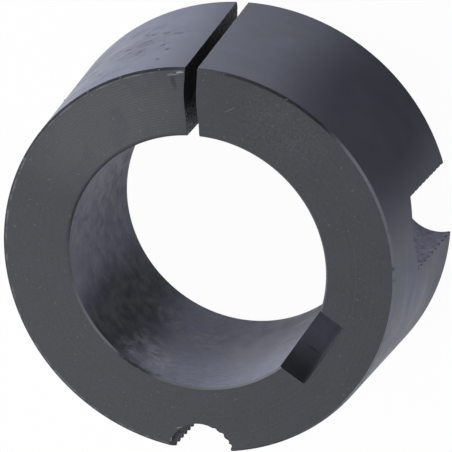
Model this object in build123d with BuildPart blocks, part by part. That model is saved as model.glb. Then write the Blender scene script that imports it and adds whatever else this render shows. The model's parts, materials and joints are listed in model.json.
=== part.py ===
"""Split taper bushing: a tapered iron ring that clamps a hub to a keyed 35 mm shaft.

The origin is on the bore's axis at the large end, which is the face that the bushing
stands on. +Z runs along the bore to the small end, and the slit points along +Y.
Angles are in degrees from +X, turning towards +Y. Lengths are in millimetres.
"""

import os
from math import radians, tan

from build123d import *

# The tapered wall: a quarter over two inches at the large end, one inch long.
large_end_diameter = 57.15
bushing_length = 25.4
taper_angle = 4.0
rim_chamfer = 0.3

# The bore, which stands slightly open round its shaft until the screws close it.
shaft_diameter = 35.0
bore_clearance = 0.15
bore_chamfer = 0.25

# The keyway, whose depth is counted from the shaft's surface to the keyway's floor.
keyway_width = 10.0
keyway_depth = 3.3
keyway_corner_radius = 0.3
keyway_angle = -33.9

# The sawn slit that lets the ring close.
slit_width = 1.65
slit_angle = 90.0

# The screw half-holes lie on one circle, with their other halves in the hub.
hole_circle_diameter = 53.98

# Two clamping half-holes are blind: their screws push on the drilled ends.
clamping_hole_diameter = 10.1
clamping_hole_depth = 14.9
clamping_hole_angle = 5.7
clamping_hole_count = 2
drill_point_angle = 130.0

# One jacking half-hole runs through. This is its drilled size, before its thread.
jacking_hole_diameter = 7.94
jacking_hole_angle = -89.4

large_end_radius = large_end_diameter / 2
small_end_radius = large_end_radius - bushing_length * tan(radians(taper_angle))
bore_radius = (shaft_diameter + bore_clearance) / 2
keyway_floor_radius = shaft_diameter / 2 + keyway_depth
hole_circle_radius = hole_circle_diameter / 2
clamping_hole_radius = clamping_hole_diameter / 2
drill_point_height = clamping_hole_radius / tan(radians(drill_point_angle / 2))

with BuildPart() as taper_bushing:
    # The wall's section is turned round the bore's axis, with its four edges broken.
    with BuildSketch(Plane.XZ) as wall_section:
        Polygon(
            (bore_radius, 0),
            (large_end_radius, 0),
            (small_end_radius, bushing_length),
            (bore_radius, bushing_length),
            align=None,
        )
        wall_corners = wall_section.vertices().sort_by(Axis.X)
        chamfer(wall_corners[:2], length=bore_chamfer)
        chamfer(wall_corners[2:], length=rim_chamfer)
    revolve(axis=Axis.Z)

    # The keyway is broached from the bore, along its whole length.
    with BuildSketch() as keyway_section:
        with PolarLocations(0, 1, start_angle=keyway_angle):
            Rectangle(keyway_floor_radius, keyway_width, align=(Align.MIN, Align.CENTER))
        keyway_corners = keyway_section.vertices().sort_by_distance((0, 0))
        fillet(keyway_corners[2:], radius=keyway_corner_radius)
    extrude(amount=bushing_length, mode=Mode.SUBTRACT)

    # The slit is sawn through one side of the wall.
    with BuildSketch() as slit_section:
        with PolarLocations(0, 1, start_angle=slit_angle):
            Rectangle(large_end_diameter, slit_width, align=(Align.MIN, Align.CENTER))
    extrude(amount=bushing_length, mode=Mode.SUBTRACT)

    # The clamping half-holes are drilled from the large end and keep the drill's point.
    with BuildSketch() as clamping_hole_section:
        with PolarLocations(hole_circle_radius, clamping_hole_count, clamping_hole_angle):
            Circle(clamping_hole_radius)
    extrude(amount=clamping_hole_depth, mode=Mode.SUBTRACT)
    with PolarLocations(hole_circle_radius, clamping_hole_count, clamping_hole_angle):
        with Locations((0, 0, clamping_hole_depth)):
            Cone(
                clamping_hole_radius,
                0,
                drill_point_height,
                align=(Align.CENTER, Align.CENTER, Align.MIN),
                mode=Mode.SUBTRACT,
            )

    # The jacking half-hole is drilled from end to end, just off opposite the slit.
    with BuildSketch() as jacking_hole_section:
        with PolarLocations(hole_circle_radius, 1, start_angle=jacking_hole_angle):
            Circle(jacking_hole_diameter / 2)
    extrude(amount=bushing_length, mode=Mode.SUBTRACT)

taper_bushing.part.label = "taper_bushing"

os.makedirs("parts", exist_ok=True)
export_step(taper_bushing.part, "parts/taper_bushing.step")
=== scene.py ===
import json
from math import cos, pi, radians, sin, tan

import bmesh
import bpy
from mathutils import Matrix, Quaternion, Vector


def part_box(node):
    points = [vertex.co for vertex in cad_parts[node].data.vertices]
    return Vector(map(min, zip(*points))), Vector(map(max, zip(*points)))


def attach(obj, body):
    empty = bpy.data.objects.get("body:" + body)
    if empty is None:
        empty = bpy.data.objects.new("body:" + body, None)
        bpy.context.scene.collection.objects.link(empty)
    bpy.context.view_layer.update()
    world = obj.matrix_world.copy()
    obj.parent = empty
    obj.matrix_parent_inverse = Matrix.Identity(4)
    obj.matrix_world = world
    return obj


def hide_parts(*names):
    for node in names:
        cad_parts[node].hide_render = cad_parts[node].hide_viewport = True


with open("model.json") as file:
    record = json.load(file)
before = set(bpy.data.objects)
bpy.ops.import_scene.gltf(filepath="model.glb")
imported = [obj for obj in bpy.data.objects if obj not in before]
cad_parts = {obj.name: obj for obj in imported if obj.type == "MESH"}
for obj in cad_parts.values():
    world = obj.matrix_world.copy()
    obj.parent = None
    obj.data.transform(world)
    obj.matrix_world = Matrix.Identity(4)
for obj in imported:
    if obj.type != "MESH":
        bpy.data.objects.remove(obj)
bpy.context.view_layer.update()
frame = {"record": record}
mm = 0.001
scene = bpy.context.scene


# The camera looks down on the small end face from 64 degrees up, with a long lens.
# It is rolled over, so that the slit is at the top of the picture.
camera_aim = Vector((0.43, 0.82, 12.7)) * mm
camera_distance = 459.5 * mm
camera_azimuth = radians(141.24)
camera_elevation = radians(64.33)
camera_roll = radians(-139.68)
camera_lens = 272.3

towards_camera = Vector((
    sin(camera_azimuth) * cos(camera_elevation),
    -cos(camera_azimuth) * cos(camera_elevation),
    sin(camera_elevation),
))
bpy.ops.object.camera_add(location=camera_aim + towards_camera * camera_distance)
camera = bpy.context.object
camera.rotation_mode = "QUATERNION"
upright = towards_camera.to_track_quat("Z", "Y")
camera.rotation_quaternion = upright @ Quaternion((0, 0, 1), camera_roll)
camera.data.lens = camera_lens
scene.camera = camera


# The ring is one iron casting, turned to its taper, bored and faced, with all four
# edges broken. Its dark phosphate coat shows the turning lines under a satin sheen.
large_end_radius = 28.575 * mm
taper_angle = radians(4)
rim_chamfer = 0.3 * mm
bore_chamfer = 0.25 * mm
turning_steps = 360
flat_normal = 0.99
chamfer_normal = 0.3
smooth_angle = radians(30)

bore_mount = next(mount for mount in frame["record"]["mounts"] if mount["name"] == "bore")
bore_radius = bore_mount["dims"]["r_mm"] * mm
bushing_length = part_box("taper_bushing")[1].z
small_end_radius = large_end_radius - bushing_length * tan(taper_angle)
small_end_height = bushing_length / mm


class Wire:
    """An output socket of a finish, whose operators add Math nodes."""

    def __init__(self, finish, socket):
        self.finish = finish
        self.socket = socket

    def math(self, operation, *others):
        settings = {"operation": operation}
        return self.finish.node("ShaderNodeMath", settings, dict(enumerate((self, *others))))

    def __add__(self, other):
        return self.math("ADD", other)

    def __sub__(self, other):
        return self.math("SUBTRACT", other)

    def __rsub__(self, other):
        return self.math("MULTIPLY", -1) + other

    def __mul__(self, other):
        return self.math("MULTIPLY", other)

    __radd__ = __add__
    __rmul__ = __mul__

    def fade(self, low, high):
        """0 where this is low, 1 where it is high, and smooth between."""
        settings = {"interpolation_type": "SMOOTHSTEP"}
        sockets = {"Value": self, "From Min": low, "From Max": high}
        return self.finish.node("ShaderNodeMapRange", settings, sockets)


class Finish:
    """A material that reads places on the bushing in millimetres."""

    def __init__(self, name, tint=(0.76, 0.81, 1, 1)):
        self.tint = tint
        self.material = bpy.data.materials.new(name)
        self.material.use_nodes = True
        self.tree = self.material.node_tree
        self.tree.nodes.clear()

    def node(self, kind, settings, sockets, output=0):
        made = self.tree.nodes.new(kind)
        for name, value in settings.items():
            setattr(made, name, value)
        for name, value in sockets.items():
            if isinstance(value, Wire):
                self.tree.links.new(value.socket, made.inputs[name])
            else:
                made.inputs[name].default_value = value
        return Wire(self, made.outputs[output] if made.outputs else None)

    def place(self):
        """The place on the bushing, in millimetres."""
        place = self.node("ShaderNodeTexCoord", {}, {}, "Object")
        sockets = {"Vector": place, "Scale": 1 / mm}
        return self.node("ShaderNodeVectorMath", {"operation": "SCALE"}, sockets)

    def along(self, axis):
        return self.node("ShaderNodeSeparateXYZ", {}, {"Vector": self.place()}, axis)

    def radius(self):
        """The distance from the bore's axis."""
        x = self.along("X")
        y = self.along("Y")
        return (x * x + y * y).math("SQRT")

    def blotches(self, size, detail=2.0, roughness=0.5, stretch=(1, 1, 1)):
        """Soft noise whose patches are size millimetres across, about 0.5 at its middle."""
        shares = [share / size for share in stretch]
        sockets = {0: self.place(), 1: shares}
        scaled = self.node("ShaderNodeVectorMath", {"operation": "MULTIPLY"}, sockets)
        sockets = {"Vector": scaled, "Scale": 1.0, "Detail": detail, "Roughness": roughness}
        return self.node("ShaderNodeTexNoise", {}, sockets)

    def lines(self, along, pitch, detail=2.0):
        """Noise that changes only along one value, with lines about pitch apart."""
        sockets = {"W": along * (1 / pitch), "Scale": 1.0, "Detail": detail}
        return self.node("ShaderNodeTexNoise", {"noise_dimensions": "1D"}, sockets)

    def mark(self, radius, angle, height, reach, turn=0):
        """A soft mark on the bushing, turned round Z, that reaches so far each way."""
        turned = radians(angle)
        sockets = {
            "Vector": self.place(),
            "Location": (radius * cos(turned), radius * sin(turned), height),
            "Rotation": (0, 0, turned + radians(turn)),
            "Scale": reach,
        }
        inside = self.node("ShaderNodeMapping", {"vector_type": "TEXTURE"}, sockets)
        length = {"operation": "LENGTH"}
        return self.node("ShaderNodeVectorMath", length, {0: inside}, "Value").fade(1, 0.3)

    def blend(self, share, low, high):
        """A colour between two others."""
        return self.node("ShaderNodeMix", {"data_type": "RGBA"}, {0: share, 6: low, 7: high}, 2)

    def shade(self, color, roughness, height, depth, reflection=0.5):
        """Ends the finish: height, from 0 to 1, stands out by depth."""
        sockets = {"Height": height, "Strength": 1.0, "Distance": depth}
        sockets = {
            "Base Color": color,
            "Roughness": roughness,
            "Specular IOR Level": reflection,
            "Specular Tint": self.tint,
            "Normal": self.node("ShaderNodeBump", {}, sockets),
        }
        return self.show(self.node("ShaderNodeBsdfPrincipled", {}, sockets))

    def show(self, shader):
        self.node("ShaderNodeOutputMaterial", {}, {"Surface": shader})
        return self.material


def face_finish():
    """The faced ends: neutral dark grey, finely scored, with a painted highlight along the outer
    edge at the left, and a few marks.

    Left, right and low are as the camera sees them, here and in the other finishes.
    """
    finish = Finish("turned_face", tint=(0.94, 0.95, 1, 1))
    radius = finish.radius()
    rings = finish.lines(radius, 0.3, detail=3.0)
    groove_pitch = 0.37
    grooves = (radius * (2 * pi / groove_pitch)).math("SINE") * 0.5 + 0.5
    clouds = finish.blotches(5.0, detail=4.0)
    patches = finish.blotches(3.5, detail=3.0).fade(0.52, 0.66)
    specks = finish.blotches(0.5, detail=2.0).fade(0.68, 0.76)
    grain = finish.blotches(0.22, detail=3.0)
    left = finish.along("X").fade(4, -10)
    # Painted highlight: a broken light line along the outer edge of the face, on the left.
    left_rim_highlight = radius.fade(26.2, 26.4) * left * finish.blotches(1.6, detail=3.0).fade(0.42, 0.6)
    gouge = finish.mark(25.0, 95.5, small_end_height, (1.6, 0.5, 1), turn=11)
    score = finish.mark(22.1, 76.6, small_end_height, (1.1, 0.1, 1), turn=-49)
    scratch = finish.mark(25.9, 95.0, small_end_height, (0.1, 1.1, 1), turn=8)
    color = finish.blend(
        rings * 0.2 + clouds * 0.3 + grain * 0.5,
        (0.018, 0.0188, 0.0235, 1),
        (0.079, 0.081, 0.093, 1),
    )
    bright = finish.mark(22, 122, small_end_height, (10, 16, 5))
    color = finish.blend(bright * 0.3, color, (0.115, 0.117, 0.128, 1))
    scored = grooves * (grain * 0.8 + 0.3) * bright
    color = finish.blend(scored * 0.42, color, (0.125, 0.127, 0.135, 1))
    cloudy = finish.mark(23, 58, small_end_height, (6, 9, 5)) * grain.fade(0.4, 0.65)
    color = finish.blend(cloudy * 0.15, color, (0.14, 0.142, 0.15, 1))
    color = finish.blend(patches * 0.3, color, (0.05, 0.056, 0.078, 1))
    color = finish.blend(specks * 0.3, color, (0.25, 0.25, 0.26, 1))
    # The painted highlight along the outer edge of the face, on the left.
    color = finish.blend(left_rim_highlight * 0.7, color, (0.16, 0.162, 0.17, 1))
    color = finish.blend(gouge * 0.65, color, (0.02, 0.02, 0.024, 1))
    color = finish.blend(score * 0.4, color, (0.2, 0.2, 0.21, 1))
    color = finish.blend(scratch * 0.6, color, (0.3, 0.3, 0.32, 1))
    by_bore = radius.fade(18.2, 17.85) * finish.along("Y").fade(-2, 3) * left
    color = finish.blend(by_bore * 0.6, color, (0.02, 0.02, 0.023, 1))
    height = rings * 0.3 + grain * 0.5 + grooves * bright * 0.2
    return finish.shade(color, 0.52 + clouds * 0.12, height, 0.022 * mm, 0.35)


def wall_finish():
    """The tapered wall: bluish and smoother, with turning lines, haze, streaks and pits, painted
    shade on the upper right, and painted light on the left and low right.
    """
    finish = Finish("turned_wall")
    pits = (
        (116.2, 13.1, 0.55),
        (111.1, 9.7, 0.6),
        (106.2, 10.6, 0.7),
        (104.2, 15.7, 0.45),
        (102.0, 21.4, 0.4),
        (101.4, 17.8, 0.5),
        (121.9, 19.4, 0.5),
    )
    rings = finish.lines(finish.along("Z"), 0.2)
    clouds = finish.blotches(5.0, detail=5.0, roughness=0.6).fade(0.25, 0.75)
    drawn = finish.blotches(2.2, detail=4.0, stretch=(0.25, 0.25, 0.8)).fade(0.42, 0.68)
    smears = finish.blotches(1.0, detail=4.0, stretch=(0.8, 0.8, 1)).fade(0.56, 0.72)
    # Painted shade on the upper right of the wall, which is also made rougher.
    dull_and_painted_shade = finish.mark(26.5, 40, 14, (15.5, 17, 40))
    smeared = finish.mark(27, 112, 12, (7, 8, 9)) * smears
    hazy = finish.blotches(2.6, detail=6.0, roughness=0.6, stretch=(0.45, 0.45, 1))
    haze = hazy.fade(0.42, 0.66) * finish.mark(27, 122, 12, (9, 14, 16))
    left = finish.along("X").fade(2, -8)
    color = finish.blend(
        rings * 0.25 + clouds * 0.75, (0.062, 0.068, 0.1, 1), (0.128, 0.138, 0.198, 1)
    )
    # The painted shade on the upper right of the wall.
    color = finish.blend(dull_and_painted_shade * 0.85, color, (0.013, 0.013, 0.028, 1))
    # Painted light on the low right of the wall; the streaks there are lighter still.
    painted_low_right_light = finish.mark(27.5, -10, 14, (9, 11, 18))
    color = finish.blend(painted_low_right_light * 0.3, color, (0.07, 0.09, 0.2, 1))
    color = finish.blend(drawn * painted_low_right_light * 0.5, color, (0.19, 0.22, 0.38, 1))
    # Painted light: the left of the wall is lighter.
    color = finish.blend(left * 0.55, color, (0.21, 0.23, 0.34, 1))
    color = finish.blend(haze * 0.7, color, (0.05, 0.054, 0.08, 1))
    color = finish.blend(smeared * 0.7, color, (0.016, 0.017, 0.03, 1))
    torn = finish.blotches(0.45, detail=3.0).fade(0.35, 0.5)
    for angle, height, reach in pits:
        radius = large_end_radius / mm - height * tan(taper_angle)
        pit = finish.mark(radius, angle, height, (0.8, reach * 1.3, reach)) * torn
        color = finish.blend(pit * 0.95, color, (0.012, 0.012, 0.018, 1))
    roughness = 0.34 + clouds * 0.14 + dull_and_painted_shade * 0.2 + smeared * 0.15
    return finish.shade(color, roughness, rings, 0.008 * mm, 0.32)


def bore_finish():
    """The bore: bluish like the wall, with stains, painted shade and a rougher finish at the
    lower left, and painted light at the lower right.
    """
    finish = Finish("turned_bore")
    radius = bore_radius / mm
    light_stains = (
        (-121.7, 8.4, 3.0),
        (-122.4, 17.9, 3.2),
        (-127.0, 22.0, 2.6),
        (-114.0, 21.0, 3.4),
        (-102.0, 10.0, 3.4),
    )
    dark_stains = ((-131, 24.6), (-122, 25.0), (-112, 25.2))
    rings = finish.lines(finish.along("Z"), 0.3, detail=3.0)
    grain = finish.blotches(0.55, detail=3.0, stretch=(0.5, 0.5, 1.6))
    stains = finish.blotches(2.2, detail=6.0, roughness=0.65).fade(0.32, 0.68)
    mottle = finish.blotches(1.3, detail=6.0, roughness=0.65).fade(0.4, 0.66)
    color = finish.blend(
        rings * 0.2 + stains * 0.22 + grain * 0.58, (0.05, 0.054, 0.085, 1), (0.43, 0.45, 0.59, 1)
    )
    # Painted shade on the lower left of the bore, which is also made rougher.
    dull_and_painted_shade = finish.mark(radius, -139, 14, (8, 9, 30))
    # The painted shade on the lower left of the bore.
    color = finish.blend(dull_and_painted_shade * 0.92, color, (0.012, 0.012, 0.018, 1))
    clean = finish.mark(radius, 45, 13, (14, 17, 40))
    color = finish.blend(clean * 0.8, color, (0.085, 0.092, 0.125, 1))
    # Painted light on the lower right of the bore.
    painted_bore_light = finish.mark(radius, -70, 7, (6, 10, 18))
    color = finish.blend(painted_bore_light * 0.75, color, (0.36, 0.37, 0.44, 1))
    for angle, height, reach in light_stains:
        stain = finish.mark(radius, angle, height, (0.8, reach, reach * 1.2)) * mottle
        color = finish.blend(stain * 0.6, color, (0.46, 0.46, 0.5, 1))
    for angle, height in dark_stains:
        stain = finish.mark(radius, angle, height, (0.8, 2.0, 1.7)) * mottle
        color = finish.blend(stain * 0.85, color, (0.012, 0.012, 0.016, 1))
    roughness = 0.34 + stains * 0.2 + dull_and_painted_shade * 0.12
    return finish.shade(color, roughness, rings * 0.3 + grain * 0.7, 0.035 * mm, 0.45)


def edge_finish():
    """The broken edges: dark and rough, with small chips, painted light on the right, the low
    right and the bore's edge at the bottom and low left, and painted shade on the left.
    """
    finish = Finish("broken_edge")
    x = finish.along("X")
    y = finish.along("Y")
    grain = finish.blotches(0.4, detail=3.0)
    chips = finish.blotches(0.7, detail=3.0).fade(0.64, 0.7)
    # Painted light: patchy, on the edges at the right.
    painted_right_light = finish.blotches(2.2, detail=4.0).fade(0.25, 0.45) * x.fade(17, 22)
    inner = finish.radius().fade(20, 19)
    # Painted light on the bore's edge at the bottom and low left and on the outer edges at the
    # low right; painted shade on the outer edges at the left.
    low = y.fade(-10, -17) * inner
    painted_low_left_light = (y.fade(6, -1) + y.fade(-2, -8)) * 0.5 * x.fade(-2, -8) * inner
    painted_low_right_light = x.fade(10, 16) * y.fade(7, 1) - inner
    left = x.fade(0, -4) - inner
    faint = finish.mark(small_end_radius / mm, 86, 25.3, (2, 4, 2))
    soiled = finish.mark(bore_radius / mm, -121, small_end_height, (2, 4.6, 2))
    color = finish.blend(grain, (0.02, 0.02, 0.024, 1), (0.06, 0.061, 0.068, 1))
    color = finish.blend(inner * 0.6, color, (0.11, 0.111, 0.12, 1))
    # Painted light and shade: lighter bore edge at the low left, darker outer edges at the left,
    # lighter bottom and low right.
    color = finish.blend(painted_low_left_light * 0.85, color, (0.42, 0.425, 0.46, 1))
    color = finish.blend(left * 0.8, color, (0.008, 0.008, 0.01, 1))
    color = finish.blend(low * 0.7, color, (0.2, 0.202, 0.22, 1))
    color = finish.blend(painted_low_right_light * 0.8, color, (0.13, 0.132, 0.145, 1))
    # Patchy painted light on the edges at the right.
    color = finish.blend(painted_right_light * 0.7, color, (0.42, 0.44, 0.53, 1))
    color = finish.blend(faint * 0.6, color, (0.1, 0.102, 0.12, 1))
    color = finish.blend(soiled * grain.fade(0.2, 0.5) * 0.85, color, (0.03, 0.03, 0.034, 1))
    color = finish.blend(chips * 0.5, color, (0.24, 0.24, 0.25, 1))
    return finish.shade(color, 0.5 + grain * 0.15, grain, 0.03 * mm, 0.3)


def only(obj):
    """Leaves one object selected and active."""
    bpy.ops.object.select_all(action="DESELECT")
    bpy.context.view_layer.objects.active = obj
    obj.select_set(True)


def start_editing(obj):
    only(obj)
    bpy.ops.object.mode_set(mode="EDIT")


def stop_editing():
    bpy.ops.object.mode_set(mode="OBJECT")


def pick(obj, kind, wanted):
    """Selects the vertices, edges or faces that wanted says yes to."""
    bpy.ops.mesh.select_mode(type=kind)
    bpy.ops.mesh.select_all(action="DESELECT")
    mesh = bmesh.from_edit_mesh(obj.data)
    items = {"VERT": mesh.verts, "EDGE": mesh.edges, "FACE": mesh.faces}[kind]
    for item in items:
        item.select_set(wanted(item))
    bmesh.update_edit_mesh(obj.data)


def apply_modifier(obj, kind, **settings):
    only(obj)
    modifier = obj.modifiers.new(kind.lower(), kind)
    for name, value in settings.items():
        setattr(modifier, name, value)
    bpy.ops.object.modifier_apply(modifier=modifier.name)


def is_flat(face):
    return abs(face.normal.z) > flat_normal


def is_rim(edge, radius, room=0.05 * mm):
    """Says whether an edge lies on a circle of that radius round the bore's axis."""
    low, high = sorted(vertex.co.z for vertex in edge.verts)
    on_circle = all(abs(vertex.co.xy.length - radius) < room for vertex in edge.verts)
    return on_circle and high - low < room


bpy.ops.object.select_all(action="DESELECT")
bpy.ops.mesh.primitive_cylinder_add(
    vertices=turning_steps,
    radius=large_end_radius,
    depth=bushing_length,
    location=(0, 0, bushing_length / 2),
)
ring = bpy.context.object
ring.name = "tapered_ring"
bpy.ops.object.transform_apply()
start_editing(ring)
small_share = small_end_radius / large_end_radius
pick(ring, "FACE", lambda face: face.normal.z > flat_normal)
bpy.ops.transform.resize(
    value=(small_share, small_share, 1), center_override=(0, 0, bushing_length)
)
bpy.ops.mesh.inset(thickness=small_end_radius - bore_radius)
pick(ring, "FACE", lambda face: face.normal.z < -flat_normal)
bpy.ops.mesh.inset(thickness=large_end_radius - bore_radius)
pick(ring, "FACE", lambda face: is_flat(face) and len(face.verts) == turning_steps)
bpy.ops.mesh.bridge_edge_loops()
for rim_radius, chamfer_size in (
    (small_end_radius, rim_chamfer),
    (large_end_radius, rim_chamfer),
    (bore_radius, bore_chamfer),
):
    pick(ring, "EDGE", lambda edge: is_rim(edge, rim_radius))
    bpy.ops.mesh.bevel(offset=chamfer_size, segments=1)
stop_editing()

for finish in (face_finish, wall_finish, bore_finish, edge_finish):
    ring.data.materials.append(finish())
between_walls = (bore_radius + small_end_radius) / 2
for face in ring.data.polygons:
    if is_flat(face):
        face.material_index = 0
    elif abs(face.normal.z) > chamfer_normal:
        face.material_index = 3
    elif face.center.xy.length > between_walls:
        face.material_index = 1
    else:
        face.material_index = 2


def cut(cutter):
    """Cuts another shape out of the ring; the cut faces take that shape's finish."""
    apply_modifier(
        ring,
        "BOOLEAN",
        operation="DIFFERENCE",
        solver="EXACT",
        material_mode="TRANSFER",
        object=cutter,
    )
    bpy.data.objects.remove(cutter)


# The keyway is broached along the bore, with sharp mouth edges and a small radius in
# its floor's corners. The broach leaves fine lines along the keyway.
keyway_width = 10.0 * mm
keyway_floor_radius = 20.8 * mm
keyway_corner = 0.3 * mm
keyway_corner_steps = 4
keyway_angle = radians(-33.9)
overrun = 2.0 * mm


def broached_finish():
    """The keyway's walls: darker than the bore, nearly black by the small end face."""
    finish = Finish("broached_keyway")
    drawn = finish.blotches(0.4, detail=3.0, stretch=(1, 1, 0.05))
    stains = finish.blotches(3.0, detail=3.0)
    color = finish.blend(
        stains * 0.6 + drawn * 0.4, (0.09, 0.092, 0.12, 1), (0.24, 0.248, 0.32, 1)
    )
    near_mouth = finish.along("Z").fade(7, 24)
    color = finish.blend(near_mouth * 0.9, color, (0.008, 0.008, 0.009, 1))
    scrape = finish.mark(19.6, -48.8, 15.4, (1.5, 0.9, 0.5)) * stains.fade(0.35, 0.6)
    color = finish.blend(scrape * 0.6, color, (0.006, 0.006, 0.008, 1))
    return finish.shade(color, 0.5, drawn, 0.01 * mm, 0.15)


def runs_lengthwise(edge):
    start, end = (vertex.co for vertex in edge.verts)
    return abs(start.z - end.z) > overrun


bpy.ops.object.select_all(action="DESELECT")
bpy.ops.mesh.primitive_cube_add(
    size=1,
    location=(keyway_floor_radius / 2, 0, bushing_length / 2),
    scale=(keyway_floor_radius, keyway_width, bushing_length + 2 * overrun),
)
broach = bpy.context.object
bpy.ops.object.transform_apply()
start_editing(broach)
pick(
    broach,
    "EDGE",
    lambda edge: runs_lengthwise(edge) and edge.verts[0].co.x > keyway_floor_radius / 2,
)
bpy.ops.mesh.bevel(offset=keyway_corner, segments=keyway_corner_steps)
stop_editing()
broach.rotation_euler.z = keyway_angle
bpy.ops.object.transform_apply()
broach.data.materials.append(broached_finish())
cut(broach)


# Two clamping half-holes are drilled from the large end and end in the drill's point.
# A tap that ran in the hub's half has nicked their edges at the thread's pitch.
hole_circle_radius = 26.99 * mm
clamping_hole_radius = 5.05 * mm
clamping_hole_depth = 14.9 * mm
clamping_hole_angles = (radians(5.7), radians(185.7))
clamping_hole_steps = 120
drill_point_angle = radians(130)
drill_point_height = clamping_hole_radius / tan(drill_point_angle / 2)
screw_thread_pitch = 1.5875 * mm
screw_thread_radius = 4.7625 * mm
thread_angle = radians(60)
thread_crest = screw_thread_pitch / 8
thread_steps = 48
thread_seam = 0.002 * mm
nick_offset = 2.5 * mm
nick_radius = 6.0 * mm
nick_depth = 0.5 * mm


def drilled_finish():
    """A drilled wall: bluish dark grey and grainy, lighter in the right half-hole."""
    finish = Finish("drilled_hole")
    rings = finish.lines(finish.along("Z"), 0.5)
    grain = finish.blotches(0.7, detail=5.0, roughness=0.65).fade(0.3, 0.7)
    shares = grain * 0.7 + rings * 0.3
    plain = finish.blend(shares, (0.06, 0.065, 0.09, 1), (0.13, 0.14, 0.19, 1))
    right_hole_lighter = finish.blend(shares, (0.15, 0.155, 0.215, 1), (0.66, 0.675, 0.86, 1))
    # The right half-hole gets a much lighter colour than the left.
    color = finish.blend(finish.along("X").fade(-5, 5), plain, right_hole_lighter)
    return finish.shade(color, 0.5 + grain * 0.1, grain * 0.6 + rings * 0.4, 0.05 * mm, 0.4)


def threaded_rod(crest_radius, root_radius, low, turns):
    """A closed screw shape round +Z: its ridges are what a tap cuts away."""
    rise = crest_radius - root_radius
    flank = rise * tan(thread_angle / 2)
    root = screw_thread_pitch - thread_crest - 2 * flank
    bpy.ops.object.select_all(action="DESELECT")
    bpy.ops.mesh.primitive_plane_add(size=mm, location=(root_radius, 0, low))
    rod = bpy.context.object
    bpy.ops.object.transform_apply()
    start_editing(rod)
    bpy.ops.mesh.select_mode(type="VERT")
    bpy.ops.mesh.select_all(action="SELECT")
    bpy.ops.mesh.merge(type="CENTER")
    for step in ((0, 0, root), (rise, 0, flank), (0, 0, thread_crest), (-rise, 0, flank)):
        bpy.ops.mesh.extrude_vertices_move(TRANSFORM_OT_translate={"value": step})
    stop_editing()
    apply_modifier(
        rod,
        "SCREW",
        axis="Z",
        angle=2 * pi,
        screw_offset=screw_thread_pitch,
        iterations=turns,
        steps=thread_steps,
        render_steps=thread_steps,
    )
    start_editing(rod)
    bpy.ops.mesh.select_all(action="SELECT")
    bpy.ops.mesh.remove_doubles(threshold=thread_seam)
    half_height = low + turns * screw_thread_pitch / 2
    for above in (False, True):
        pick(
            rod,
            "EDGE",
            lambda edge: edge.is_boundary and (edge.verts[0].co.z > half_height) == above,
        )
        bpy.ops.mesh.extrude_edges_move()
        bpy.ops.mesh.merge(type="CENTER")
    bpy.ops.mesh.select_all(action="SELECT")
    bpy.ops.mesh.normals_make_consistent(inside=False)
    stop_editing()
    return rod


def put(obj, place, turn=0.0, lean=0.0):
    """Moves an object to its place, and keeps that place in its mesh."""
    only(obj)
    obj.location = place
    obj.rotation_euler = (0, lean, turn)
    bpy.ops.object.transform_apply()


def tapped_finish():
    """The thread: dark between its crests, with torn lighter metal on them."""
    finish = Finish("tapped_thread")
    grain = finish.blotches(0.5, detail=4.0)
    torn = finish.blotches(0.6, detail=3.0).fade(0.62, 0.68)
    color = finish.blend(grain, (0.03, 0.03, 0.034, 1), (0.17, 0.17, 0.18, 1))
    color = finish.blend(torn * 0.5, color, (0.2, 0.2, 0.21, 1))
    return finish.shade(color, 0.5, grain, 0.03 * mm, 0.3)


tapped = tapped_finish()
drilled = drilled_finish()
for hole_angle in clamping_hole_angles:
    outward = Vector((cos(hole_angle), sin(hole_angle), 0))
    bpy.ops.object.select_all(action="DESELECT")
    bpy.ops.mesh.primitive_cylinder_add(
        vertices=clamping_hole_steps,
        radius=clamping_hole_radius,
        depth=clamping_hole_depth + overrun,
        location=(0, 0, (clamping_hole_depth - overrun) / 2),
    )
    drill = bpy.context.object
    bpy.ops.object.transform_apply()
    start_editing(drill)
    pick(drill, "FACE", lambda face: face.normal.z > flat_normal)
    bpy.ops.mesh.extrude_region_move(
        TRANSFORM_OT_translate={"value": (0, 0, drill_point_height)}
    )
    bpy.ops.mesh.merge(type="CENTER")
    stop_editing()
    put(drill, outward * hole_circle_radius)
    drill.data.materials.append(drilled)
    cut(drill)

    turns = int(clamping_hole_depth / screw_thread_pitch) + 1
    nicker = threaded_rod(nick_radius, nick_radius - nick_depth, -screw_thread_pitch, turns)
    put(nicker, outward * (large_end_radius + nick_offset), hole_angle, -taper_angle)
    nicker.data.materials.append(tapped)
    cut(nicker)


# The jacking half-hole runs through, nearly opposite the slit. It is drilled, then
# tapped with the hub's half in place, which tears small bites out of its edge.
jacking_hole_angle = radians(-89.4)
jacking_drill_radius = 3.97 * mm
jacking_turns = 19
thread_start = radians(-25)
bite_size = 0.42 * mm
bites = ((64, 0.13), (47, 0.2), (30, 0.2), (19, 0.3), (112, 0.16))

jacking_place = hole_circle_radius * Vector((cos(jacking_hole_angle), sin(jacking_hole_angle), 0))
tap = threaded_rod(screw_thread_radius, jacking_drill_radius, -overrun, jacking_turns)
put(tap, jacking_place, thread_start)
tap.data.materials.append(tapped)
cut(tap)
for bite_angle, bite_depth in bites:
    reach = jacking_drill_radius + bite_depth * mm - bite_size
    around = Vector((cos(radians(bite_angle)), sin(radians(bite_angle)), 0))
    bpy.ops.object.select_all(action="DESELECT")
    bpy.ops.mesh.primitive_ico_sphere_add(subdivisions=3, radius=bite_size)
    bite = bpy.context.object
    put(bite, jacking_place + around * reach + Vector((0, 0, bushing_length)))
    bite.data.materials.append(tapped)
    cut(bite)


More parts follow.
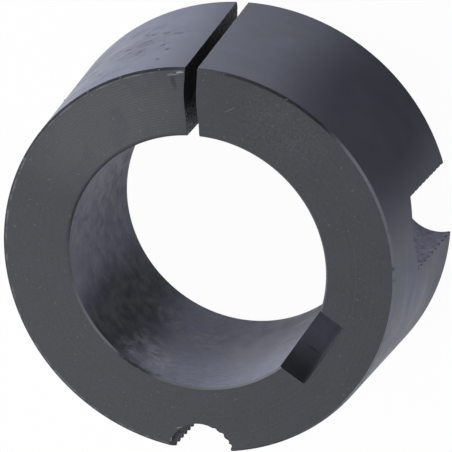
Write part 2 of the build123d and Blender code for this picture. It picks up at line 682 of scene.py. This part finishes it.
# The slit is sawn last. The blade wandered from side to side and leaned a little, and
# its walls keep the saw's rough grain.
slit_width = 1.66 * mm
slit_inner_radius = 15.0 * mm
slit_outer_radius = 30.5 * mm
blade_steps_along = 72
blade_steps_across = 110
saw_mark_size = 0.9 * mm
saw_roughness = 0.1 * mm
wander = 0.14 * mm
wander_middle = 22.8 * mm
wander_reach = 4.9 * mm
wander_drift = -0.06 * mm
slit_lean = 0.29 * mm


def sawn_finish():
    """The slit's walls: rough and painted nearly black as shade, with painted light near the bore
    and low outside.
    """
    finish = Finish("sawn_slit")
    grain = finish.blotches(0.45, detail=5.0, roughness=0.65)
    strokes = finish.blotches(0.35, detail=2.0, stretch=(1, 0.2, 1))
    y = finish.along("Y")
    lit = y.fade(22.5, 20) + y.fade(24, 26.5) * finish.along("Z").fade(16, 6) * 0.5
    # Painted shade: the walls are nearly black.
    color = finish.blend(grain, (0.004, 0.004, 0.006, 1), (0.02, 0.02, 0.024, 1))
    # Painted light where the walls are lit, near the bore and low outside.
    color = finish.blend(grain.fade(0.38, 0.58) * lit, color, (0.32, 0.32, 0.36, 1))
    color = finish.blend(grain.fade(0.62, 0.72) * 0.3, color, (0.15, 0.15, 0.16, 1))
    return finish.shade(color, 0.6, grain * 0.5 + strokes * 0.5, 0.06 * mm, 0.25)


bpy.ops.object.select_all(action="DESELECT")
bpy.ops.mesh.primitive_grid_add(
    x_subdivisions=blade_steps_along,
    y_subdivisions=blade_steps_across,
    size=1,
    rotation=(0, radians(-90), 0),
)
blade = bpy.context.object
blade.scale = (bushing_length + 2 * overrun, slit_outer_radius - slit_inner_radius, 1)
bpy.ops.object.transform_apply()
start_editing(blade)
bpy.ops.mesh.select_all(action="SELECT")
bpy.ops.mesh.extrude_region_move(TRANSFORM_OT_translate={"value": (slit_width, 0, 0)})
bpy.ops.mesh.select_all(action="SELECT")
bpy.ops.transform.translate(value=(-slit_width / 2, 0, 0))
bpy.ops.mesh.normals_make_consistent(inside=False)
stop_editing()
saw_marks = bpy.data.textures.new("saw_marks", "CLOUDS")
saw_marks.noise_scale = saw_mark_size
apply_modifier(
    blade,
    "DISPLACE",
    texture=saw_marks,
    texture_coords="LOCAL",
    strength=saw_roughness,
    mid_level=0.5,
)
put(blade, (0, (slit_inner_radius + slit_outer_radius) / 2, bushing_length / 2))
for vertex in blade.data.vertices:
    swing = cos(pi * (vertex.co.y - wander_middle) / wander_reach)
    vertex.co.x += wander_drift - wander * swing - slit_lean * (1 - vertex.co.z / bushing_length)
blade.data.materials.append(sawn_finish())
cut(blade)


# Small burrs of torn iron stand on the ring: a bright lip and a thin sliver left of the
# slit, two slivers at the jacking half-hole, and a speck on the wall's upper left.
burr_radius = 0.5 * mm
burr_roughness = 0.08 * mm
burr_places = (
    (26.2, 93.1, small_end_height, (1.1, 0.3, 0.1), 3),
    (26.0, 96.2, small_end_height, (0.8, 0.07, 0.06), 14),
    (23.8, -97.0, small_end_height, (0.85, 0.14, 0.1), 20),
    (25.8, -99.2, small_end_height, (0.12, 0.7, 0.1), 0),
    (27.68, 141.5, 13.2, (0.3, 0.14, 0.2), 0),
)


def burr_finish():
    """Bare torn iron, brighter than the coat."""
    finish = Finish("bright_burr")
    grain = finish.blotches(0.3, detail=3.0)
    color = finish.blend(grain, (0.1, 0.1, 0.11, 1), (0.36, 0.36, 0.38, 1))
    return finish.shade(color, 0.4, grain, 0.04 * mm, 0.5)


burr_metal = burr_finish()
burrs = []
for radius, angle, height, size, turn in burr_places:
    place = Vector((cos(radians(angle)), sin(radians(angle)), 0)) * radius * mm
    bpy.ops.object.select_all(action="DESELECT")
    bpy.ops.mesh.primitive_ico_sphere_add(subdivisions=3, radius=burr_radius)
    burr = bpy.context.object
    burr.scale = size
    bpy.ops.object.transform_apply()
    apply_modifier(burr, "DISPLACE", texture=saw_marks, strength=burr_roughness, mid_level=0.5)
    put(burr, place + Vector((0, 0, height * mm)), radians(angle + 90 + turn))
    burr.data.materials.append(burr_metal)
    burrs.append(burr)
only(ring)
for burr in burrs:
    burr.select_set(True)
bpy.ops.object.join()
only(ring)
bpy.ops.object.shade_smooth_by_angle(angle=smooth_angle)
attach(ring, "root")
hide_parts("taper_bushing")


# The floor is plain and white. It shows white to the camera and in the metal, with
# a faint shadow under the bushing.
floor_size = 4.0
floor_color = (0.9, 0.9, 0.9, 1)
background_glow = 0.97
floor_glow = 0.5

floor_finish = Finish("floor_white")
camera_ray = floor_finish.node("ShaderNodeLightPath", {}, {}, "Is Camera Ray")
glossy_ray = floor_finish.node("ShaderNodeLightPath", {}, {}, "Is Glossy Ray")
clear_ray = floor_finish.node("ShaderNodeLightPath", {}, {}, "Is Transmission Ray")
seen = camera_ray * background_glow + (glossy_ray + clear_ray) * floor_glow
matt = floor_finish.node("ShaderNodeBsdfDiffuse", {}, {"Color": floor_color})
glow = floor_finish.node("ShaderNodeEmission", {}, {"Color": (1, 1, 1, 1)})
white = floor_finish.node("ShaderNodeMixShader", {}, {0: seen, 1: matt, 2: glow})

bpy.ops.object.select_all(action="DESELECT")
bpy.ops.mesh.primitive_plane_add(size=floor_size)
floor = bpy.context.object
floor.name = "floor"
floor.data.materials.append(floor_finish.show(white))


# Soft studio lamps stand about a metre from the bushing, placed as the camera sees it:
# so far to the right, up and near. Most of the light comes low from the left.
picture_right = camera.rotation_quaternion @ Vector((1, 0, 0))
picture_up = camera.rotation_quaternion @ Vector((0, 1, 0))
lamp_size = 0.35
world_light = 0.12

for name, right, up, near, power in (
    ("left_lamp", -0.95, 0.05, 0.1, 4.5),
    ("upper_left_lamp", -0.6, 0.6, 0.45, 3.0),
    ("low_left_lamp", -0.7, -0.6, 0.3, 5.5),
    ("low_right_lamp", 0.6, -0.6, 0.25, 0.8),
    ("front_lamp", -0.3, 0.3, 0.9, 0.8),
):
    place = picture_right * right + picture_up * up + towards_camera * near
    bpy.ops.object.light_add(type="AREA", location=place)
    lamp = bpy.context.object
    lamp.name = name
    lamp.data.size = lamp_size
    lamp.data.energy = power
    lamp.rotation_mode = "QUATERNION"
    lamp.rotation_quaternion = place.to_track_quat("Z", "Y")

world = bpy.data.worlds.new("studio")
world.use_nodes = True
world.node_tree.nodes["Background"].inputs["Color"].default_value = (1, 1, 1, 1)
world.node_tree.nodes["Background"].inputs["Strength"].default_value = world_light
scene.world = world
scene.view_settings.view_transform = "Standard"
